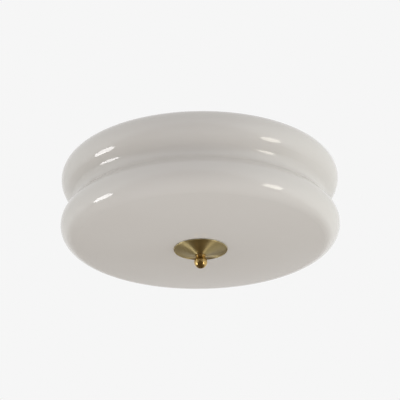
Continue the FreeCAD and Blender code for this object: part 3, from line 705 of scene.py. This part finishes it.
capSize = {
    # mm from the bulb's tip: the rolled screw cap, its black glass insulator and the housing it grips
    "radius": 13.05, "low": 4.5, "high": 25.5, "threadLow": 6.2, "threadHigh": 24.6, "sheet": 0.3,
    "lip": 10.0, "rolledIn": 0.5, "rolledUp": 0.12, "lipRise": 0.1,
    "insulatorTop": 6.9, "insulatorStep": 8.4, "insulatorFlat": 0.4, "lipGap": 0.15, "lipSeat": 0.45,
    "tipRadius": 4.6, "tipHeight": 1.6, "plug": 11.7,
    "neck": 13.6, "flareStart": 31.0, "flareEnd": 53.0, "flareRound": 30.0, "rim": 28.2, "end": 61.0,
    "edge": 0.3, "around": 84,
}


def rolledWave(size, look):
    # how far the cap's side lies inside its crests: the root at both ends, a wave between them
    def wobble(angle, r, height):
        z = height / mm
        if r / mm < size["lip"] + 1.0:
            return 0.0
        fade = easeIn(z, size["threadLow"], size["threadHigh"], look["runOut"])
        return -look["depth"] * mm * (1 - fade * rolledCrest(look, angle, z))
    return wobble


def buildScrewCap(work, number):
    # thin nickelled sheet, rolled into a coarse round thread and turned in at the bottom
    size, look = capSize, threadLooks["rolledTwentySeven"]
    outer = threadedSide(look, size["radius"], size["low"] + size["rolledIn"], size["high"])
    inner = [(r - size["sheet"], z) for r, z in reversed(outer)]
    profile = [(size["lip"], size["low"]),
               (size["radius"] - size["rolledIn"], size["low"] + size["rolledUp"])]
    profile += outer + inner + [(size["lip"], size["low"] + size["sheet"] + size["lipRise"])]
    turnProfile(work, scaled(profile), bulbPlace(number), size["around"], rolledWave(size, look))


def buildInsulator(work, number):
    # a shallow black glass cone between the tip contact and the screw cap
    size = capSize
    edge, lip, low = size["edge"], size["lip"] - size["lipGap"], size["low"]
    profile = [(0, size["tipHeight"]), (size["tipRadius"] - edge, size["tipHeight"]),
               (size["tipRadius"], size["tipHeight"] + edge), (size["insulatorStep"], low - 3 * edge),
               (size["insulatorStep"] + size["insulatorFlat"], low - edge), (lip, low),
               (lip, low + size["lipSeat"]), (size["plug"], low + size["lipSeat"]),
               (size["plug"], size["insulatorTop"]), (0, size["insulatorTop"])]
    turnProfile(work, scaled(profile), bulbPlace(number), size["around"])


def filletPoints(before, corner, after, radius, steps=10):
    # points of the arc that rounds a corner of an outline
    before, corner, after = Vector(before), Vector(corner), Vector(after)
    back, ahead = (before - corner).normalized(), (after - corner).normalized()
    half = back.angle(ahead) / 2
    reach = radius / math.tan(half)
    centre = corner + (back + ahead).normalized() * (radius / math.sin(half))
    start, end = corner + back * reach - centre, corner + ahead * reach - centre
    sweep = start.angle_signed(end)
    return [tuple(centre + Matrix.Rotation(-sweep * i / steps, 2) @ start) for i in range(steps + 1)]


def buildHousing(work, number):
    # moulded body: a plug inside the cap, a short neck and a flare out to the diffuser
    size = capSize
    edge = size["edge"]
    neck, flare = (size["neck"], size["flareStart"]), (size["rim"], size["flareEnd"])
    profile = [(0, size["insulatorTop"]), (size["plug"], size["insulatorTop"]), (size["plug"], size["high"]),
               (size["neck"] - edge, size["high"]), (size["neck"], size["high"] + edge)]
    profile += filletPoints((size["neck"], size["high"]), neck, flare, size["flareRound"] / 2)
    profile += filletPoints(neck, flare, (size["rim"], size["end"]), size["flareRound"])
    profile += [(size["rim"], size["end"] - edge), (size["rim"] - edge, size["end"]), (0, size["end"])]
    turnProfile(work, scaled(profile), bulbPlace(number), size["around"])


shellSize = {"low": 26.0, "high": 48.0, "gap": 0.15, "sheet": 0.35, "base": 9.0, "plainBase": 1.5}    # mm


def buildScrewShell(work, number):
    # drawn brass cup whose wave matches the cap's, so that the bulb still turns in it
    size, look, cap = shellSize, threadLooks["rolledTwentySeven"], capSize
    threadLow, rim = size["low"] + size["plainBase"], cap["radius"] + size["gap"]

    def wobble(angle, r, height):
        z = height / mm
        if r / mm < size["base"] + 1.0:
            return 0.0
        fade = max(0.0, min(1.0, (z - threadLow) / look["runOut"]))
        return -look["depth"] * mm * fade * (1 - rolledCrest(look, angle, z - lampSize["bulbSeat"]))

    inner = threadedSide(look, rim, size["low"] + size["sheet"], size["high"])
    outer = [(r + size["sheet"], z) for r, z in reversed(threadedSide(look, rim, size["low"], size["high"]))]
    profile = [(size["base"], size["low"] + size["sheet"])] + inner + outer + [(size["base"], size["low"])]
    turnProfile(work, scaled(profile), lampPlace(number), cap["around"], wobble)


chipSize = {
    "count": 10,
    "ring": 17.0,               # mm, the radius they stand on
    "length": 3.5, "width": 2.8, "height": 0.7, "seat": 62.6, "edge": 0.15,
}


def buildChips(work, number):
    # light-emitting diodes soldered in a ring on the board, under the diffuser
    size = chipSize
    for i in range(size["count"]):
        turned = Matrix.Rotation(2 * math.pi * i / size["count"], 4, "Z")
        out = Matrix.Translation(Vector((size["ring"], 0, size["seat"] + size["height"] / 2)) * mm)
        place = bulbPlace(number) @ turned @ out
        stretch = Matrix.Diagonal(Vector((size["length"], size["width"], size["height"])) * mm).to_4x4()
        made = bmesh.ops.create_cube(work, size=1.0, matrix=place @ stretch)
        edges = list({edge for corner in made["verts"] for edge in corner.link_edges})
        bmesh.ops.bevel(work, geom=edges, offset=size["edge"] * mm, segments=2, affect="EDGES")


phosphorLook = {"light": "#E8D27A", "dark": "#D9BE5E", "patch": 2.0, "grain": 0.3, "grainDepth": 0.03}


def phosphorSilicone(look):
    # yellow phosphor in clear silicone: matt straw yellow with a sugary grain
    material, tree, shader, place = newMaterial("phosphor silicone", {"Roughness": 0.5, "IOR": 1.45})
    mottle(tree, shader, place, look)
    grain = addNode(tree, "ShaderNodeTexVoronoi", {"Scale": perMetre(look["grain"])}, {"Vector": place})
    bump = addNode(tree, "ShaderNodeBump", {"Distance": look["grainDepth"] * mm, "Strength": 0.6},
                   {"Height": grain.outputs["Distance"]})
    tree.links.new(bump.outputs["Normal"], shader.inputs["Normal"])
    return material


phosphor = phosphorSilicone(phosphorLook)
for number in lampNumbers:
    bulb = f"bulb_{number}"
    addPiece(f"threadedNipple_{number}", "root", zincPlate,
             lambda work: buildNipple(work, number), [f"lamp_nipple_{number}"])
    addPiece(f"threadedShell_{number}", "root", contactBrass,
             lambda work: buildScrewShell(work, number), [f"screw_shell_{number}"])
    addPiece(f"threadedCap_{number}", bulb, nickelPlate,
             lambda work: buildScrewCap(work, number), [f"bulb_screw_cap_{number}"])
    addPiece(f"steppedInsulator_{number}", bulb, blackGlass,
             lambda work: buildInsulator(work, number), [f"bulb_insulator_{number}"])
    addPiece(f"flaredHousing_{number}", bulb, plastics["moulded polycarbonate"],
             lambda work: buildHousing(work, number), [f"bulb_housing_{number}"])
    addPiece(f"diodeChips_{number}", bulb, phosphor, lambda work: buildChips(work, number))
print("threads cut")


screwSizes = {
    # mm: place, shank radius and length, head radius and height, and the recess's length, width and depth
    "earthScrew": {"node": "earth_screw", "place": (-30.0, 22.0), "shank": 2.0, "length": 9.0, "head": 4.0,
                   "rise": 2.4, "recess": (4.6, 1.0, 1.4), "thread": "metricFour", "slot": "brass_fastener"},
    "blockScrew": {"node": "block_screw", "place": (44.0, 0.0), "shank": 1.2, "length": 10.0, "head": 2.6,
                   "rise": 1.6, "recess": (3.0, 0.7, 0.9), "thread": None, "slot": "zinc_steel"},
}
floorUnder = -21.0              # mm, the underside of the pan's floor
headRounding = 0.4              # of the head's height
screwEdge = 0.3
screwAround = 32
clampScrews = {"radius": 1.9, "low": -11.8, "high": -8.2, "edge": 0.25, "recess": (4.2, 0.7, 1.1),
               "places": [(x, y) for x in (39.5, 48.5) for y in (-4.5, 4.5)]}


def cutRecess(piece, boxes):
    # takes box-shaped slots out of a piece; each box is its middle and its size, in metres
    cutter = bmesh.new()
    for middle, size in boxes:
        stretch = Matrix.Diagonal(Vector(size)).to_4x4()
        bmesh.ops.create_cube(cutter, size=1.0, matrix=Matrix.Translation(middle) @ stretch)
    mesh = bpy.data.meshes.new("recess")
    cutter.to_mesh(mesh)
    cutter.free()
    tool = bpy.data.objects.new("recess", mesh)
    bpy.context.scene.collection.objects.link(tool)
    cut = piece.modifiers.new("recess", "BOOLEAN")
    cut.object = tool
    cut.operation = "DIFFERENCE"
    cut.solver = "EXACT"
    bpy.context.view_layer.update()
    whole = bpy.data.meshes.new_from_object(piece.evaluated_get(bpy.context.evaluated_depsgraph_get()))
    piece.modifiers.clear()
    piece.data = whole
    whole.set_sharp_from_angle(angle=math.radians(sharpAngle))
    bpy.data.objects.remove(tool)


def buildHeadedScrew(work, size):
    # a round-headed screw pushed up through the pan's floor, its head underneath
    low, top = -size["rise"], size["length"]
    rounding = headRounding * size["rise"]
    profile = [(0, low)] + arcPoints((size["head"] - rounding, low + rounding), rounding, -90, 0, 6)
    profile += [(size["head"], 0), (size["shank"], 0)]
    wobble = None
    if size["thread"]:
        look = threadLooks[size["thread"]]
        profile += threadedSide(look, size["shank"], 2 * screwEdge, top - screwEdge)
        wobble = cutThread(look, size["shank"], 2 * screwEdge, top - screwEdge)
    profile += [(size["shank"], top - screwEdge), (size["shank"] - screwEdge, top), (0, top)]
    profile = list(dict.fromkeys(profile))
    place = Matrix.Translation(Vector((*size["place"], floorUnder)) * mm)
    turnProfile(work, scaled(profile), place, screwAround, wobble)


def buildClampScrews(work):
    # headless screws, down in the terminal block
    size = clampScrews
    for x, y in size["places"]:
        rim = size["radius"] - size["edge"]
        profile = [(0, size["low"]), (rim, size["low"]), (size["radius"], size["low"] + size["edge"]),
                   (size["radius"], size["high"] - size["edge"]), (rim, size["high"]), (0, size["high"])]
        turnProfile(work, scaled(profile), Matrix.Translation(Vector((x, y, 0)) * mm), screwAround)


screwMetal = {"brass_fastener": turnedBrass, "zinc_steel": zincPlate}
for name, size in screwSizes.items():
    screw = addPiece(name, "root", screwMetal[size["slot"]],
                     lambda work: buildHeadedScrew(work, size), [size["node"]])
    length, width, depth = size["recess"]
    middle = Vector((*size["place"], floorUnder - size["rise"])) * mm
    for long, wide in ((length, width), (width, length)):
        cutRecess(screw, [(middle, (long * mm, wide * mm, 2 * depth * mm))])
clamps = addPiece("clampScrews", "root", zincPlate, buildClampScrews, ["terminal_screws"])
length, width, depth = clampScrews["recess"]
cutRecess(clamps, [(Vector((x, y, clampScrews["high"])) * mm, (length * mm, width * mm, 2 * depth * mm))
                   for x, y in clampScrews["places"]])
print("screws slotted")


# studio

studioLook = {
    "background": "#F6F6F6",    # what the camera sees all round
    "above": 0.67,              # even light from over the ceiling line
    "level": 0.32,              # even light from the sides
    "fullAt": 0.7,              # how high the light from above is full, as a share of straight up
    "roomBelow": "#645949",     # the room under the light, seen only in reflections
    "darkerInFront": 0.25,
    "brighterAtSides": 0.85,    # the room is lighter at both sides, more to the right, only in reflections
    "towardsRight": 0.13,
    "roomTop": -0.10,           # where the room starts to fade into the background
    "fadeTop": 0.30,
    "floorDepth": -2.4,         # a room's height below the ceiling
    "floorHalf": 12.0,
    "floor": "#E2E1DF",
    "floorDrift": "#E8E7E5",
    "floorPatch": 900,          # mm
}
lampLooks = {
    # direction in degrees (0 is towards the camera, positive to its right), degrees below level, width and
    # height in degrees, brightness and colour; mirrored lamps show in gloss, soft ones only shade
    "leftSoftbox": {"around": -86.0, "below": 28.0, "wide": 20.0, "tall": 13.0, "bright": 8.5,
                    "colour": "#FFFFFF", "mirrored": True},
    "rightSoftbox": {"around": 61.0, "below": 29.0, "wide": 16.0, "tall": 18.0, "bright": 6.1,
                     "colour": "#FFF8EC", "mirrored": True},
    "frontFill": {"around": 0.0, "below": 20.0, "wide": 60.0, "tall": 40.0, "bright": 0.46,
                  "colour": "#FFFFFF", "mirrored": False},
    "rightFill": {"around": 80.0, "below": 5.0, "wide": 60.0, "tall": 50.0, "bright": 1.74,
                  "colour": "#F8FFFA", "mirrored": False},
    "leftFill": {"around": -80.0, "below": 5.0, "wide": 60.0, "tall": 50.0, "bright": 0.88,
                 "colour": "#F8FFFA", "mirrored": False},
    "backFill": {"around": 180.0, "below": 5.0, "wide": 60.0, "tall": 50.0, "bright": 0.8,
                 "colour": "#FFFFFF", "mirrored": False},
    "lowFill": {"around": 0.0, "below": 80.0, "wide": 50.0, "tall": 50.0, "bright": 0.93,
                "colour": "#FFFFFF", "mirrored": False},
}
lampAim = (0, 0, -0.08)         # the lamps stand round the middle of the shade
lampDistance = 1.5


def buildWorld(look):
    world = bpy.data.worlds.new("studio")
    bpy.context.scene.world = world
    world.use_nodes = True
    tree = world.node_tree
    tree.nodes.clear()
    ray = addNode(tree, "ShaderNodeLightPath")
    direction = addNode(tree, "ShaderNodeTexCoord")
    split = addNode(tree, "ShaderNodeSeparateXYZ", None, {0: direction.outputs["Generated"]})
    strength = addNode(tree, "ShaderNodeMapRange", {
        "From Min": 0.0, "From Max": look["fullAt"], "To Min": look["level"], "To Max": look["above"]},
        {"Value": split.outputs["Z"]})
    light = addNode(tree, "ShaderNodeBackground", {"Color": (1, 1, 1, 1)},
                    {"Strength": strength.outputs["Result"]})
    offset = addNode(tree, "ShaderNodeMath", {"operation": "ADD", 1: look["towardsRight"]},
                     {0: split.outputs["X"]})
    sideways = addNode(tree, "ShaderNodeMath", {"operation": "MULTIPLY"},
                       {0: offset.outputs[0], 1: offset.outputs[0]})
    front = addNode(tree, "ShaderNodeMath", {"operation": "MULTIPLY_ADD", 1: look["darkerInFront"]},
                    {0: split.outputs["Y"], 2: split.outputs["Z"]})
    lean = addNode(tree, "ShaderNodeMath", {"operation": "MULTIPLY_ADD", 1: look["brighterAtSides"]},
                   {0: sideways.outputs[0], 2: front.outputs[0]})
    upness = addNode(tree, "ShaderNodeMapRange", {"From Min": look["roomTop"], "From Max": look["fadeTop"]},
                     {"Value": lean.outputs[0]})
    mirrored = addNode(tree, "ShaderNodeMix", {
        "data_type": "RGBA", 6: fromHex(look["roomBelow"]), 7: fromHex(look["background"])},
        {"Factor": upness.outputs["Result"]})
    glossy = addNode(tree, "ShaderNodeBackground", None, {"Color": mirrored.outputs[2]})
    backdrop = addNode(tree, "ShaderNodeBackground", {"Color": fromHex(look["background"]), "Strength": 1.0})
    seen = addNode(tree, "ShaderNodeMath", {"operation": "MAXIMUM"},
                   {0: ray.outputs["Is Camera Ray"], 1: ray.outputs["Is Transmission Ray"]})
    reflected = addNode(tree, "ShaderNodeMixShader", None, {
        0: ray.outputs["Is Glossy Ray"], 1: light.outputs[0], 2: glossy.outputs[0]})
    both = addNode(tree, "ShaderNodeMixShader", None, {
        0: seen.outputs[0], 1: reflected.outputs[0], 2: backdrop.outputs[0]})
    addNode(tree, "ShaderNodeOutputWorld", None, {"Surface": both.outputs[0]})


def buildFloor(look):
    material, tree, shader, place = newMaterial("matt studio floor", {"Roughness": 0.9})
    mottle(tree, shader, place, {
        "light": look["floor"], "dark": look["floorDrift"], "patch": look["floorPatch"]})
    mesh = bpy.data.meshes.new("floor")
    work = bmesh.new()
    bmesh.ops.create_grid(work, x_segments=8, y_segments=8, size=look["floorHalf"])
    work.to_mesh(mesh)
    work.free()
    mesh.materials.append(material)
    floor = bpy.data.objects.new("floor", mesh)
    floor.location = (0, 0, look["floorDepth"])
    bpy.context.scene.collection.objects.link(floor)
    floor.visible_glossy = False    # reflections see the world's softer room instead


def hangSoftbox(name, look):
    around, below = math.radians(look["around"]), math.radians(look["below"])
    level = math.cos(below)
    direction = Vector((level * math.sin(around), -level * math.cos(around), -math.sin(below)))
    lamp = bpy.data.lights.new(name, "AREA")
    lamp.shape = "ELLIPSE"
    lamp.size = 2 * lampDistance * math.tan(math.radians(look["wide"] / 2))
    lamp.size_y = 2 * lampDistance * math.tan(math.radians(look["tall"] / 2))
    lamp.energy = look["bright"] * math.pi * (math.pi * lamp.size * lamp.size_y / 4)
    lamp.color = fromHex(look["colour"])[:3]
    holder = bpy.data.objects.new(name, lamp)
    holder.location = Vector(lampAim) + direction * lampDistance
    holder.rotation_euler = direction.to_track_quat("Z", "Y").to_euler()
    holder.visible_camera = False
    holder.visible_diffuse = not look["mirrored"]
    holder.visible_glossy = look["mirrored"]
    bpy.context.scene.collection.objects.link(holder)


buildWorld(studioLook)
buildFloor(studioLook)
for name, look in lampLooks.items():
    hangSoftbox(name, look)
print("studio lit")
